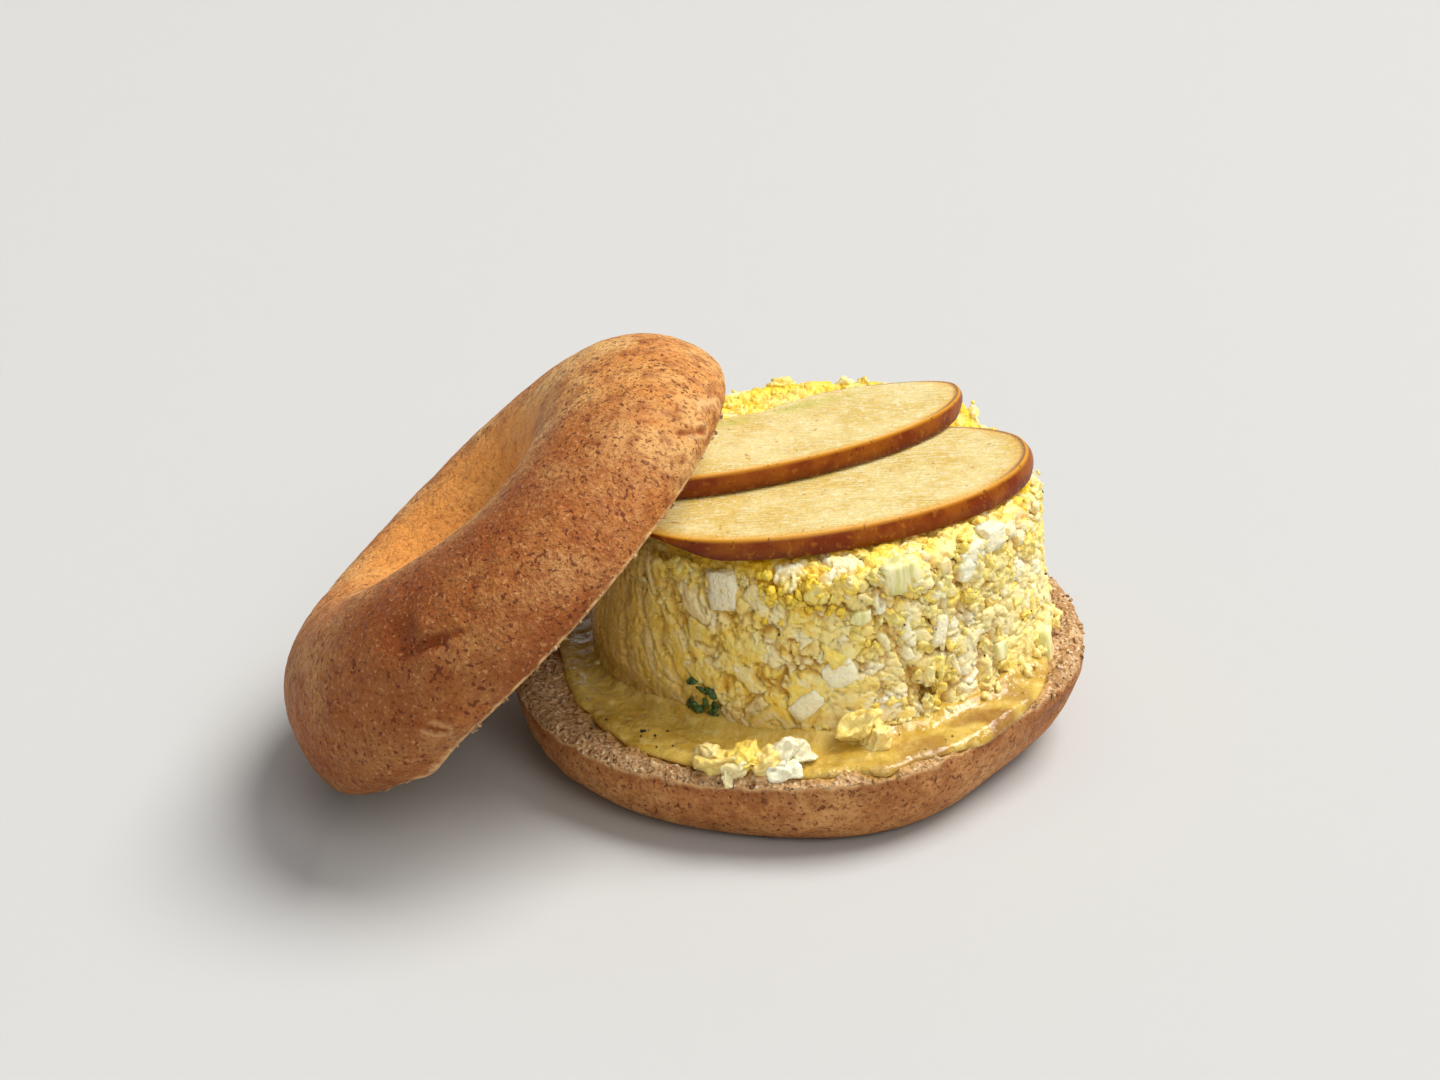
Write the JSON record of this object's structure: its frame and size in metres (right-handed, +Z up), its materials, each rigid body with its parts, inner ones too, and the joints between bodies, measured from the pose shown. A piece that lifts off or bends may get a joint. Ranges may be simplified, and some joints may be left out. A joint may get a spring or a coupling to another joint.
{
  "type": "bagel sandwich",
  "caption": "Open bagel sandwich with a tall round of egg salad and apple slices, its upper half leaning on one side.",
  "frame": {"origin": "centre of the whole sandwich's outline, on the surface it stands on", "axes": "+Z up; +X from the leaning upper half towards the filled lower half; -Y is the side where the fillings show best"},
  "size_m": [0.147, 0.1242, 0.0796],
  "materials": {
    "crust": "matte baked crust",
    "dressing": "wet gloss",
    "egg_salad": "moist",
    "apple": "moist"
  },
  "bodies": {
    "root": {"bagel_bottom": "crust", "bagel_top": "crust", "dressing": "dressing", "egg_salad": "egg_salad", "apple_front": "apple", "apple_back": "apple"}
  },
  "joints": []
}
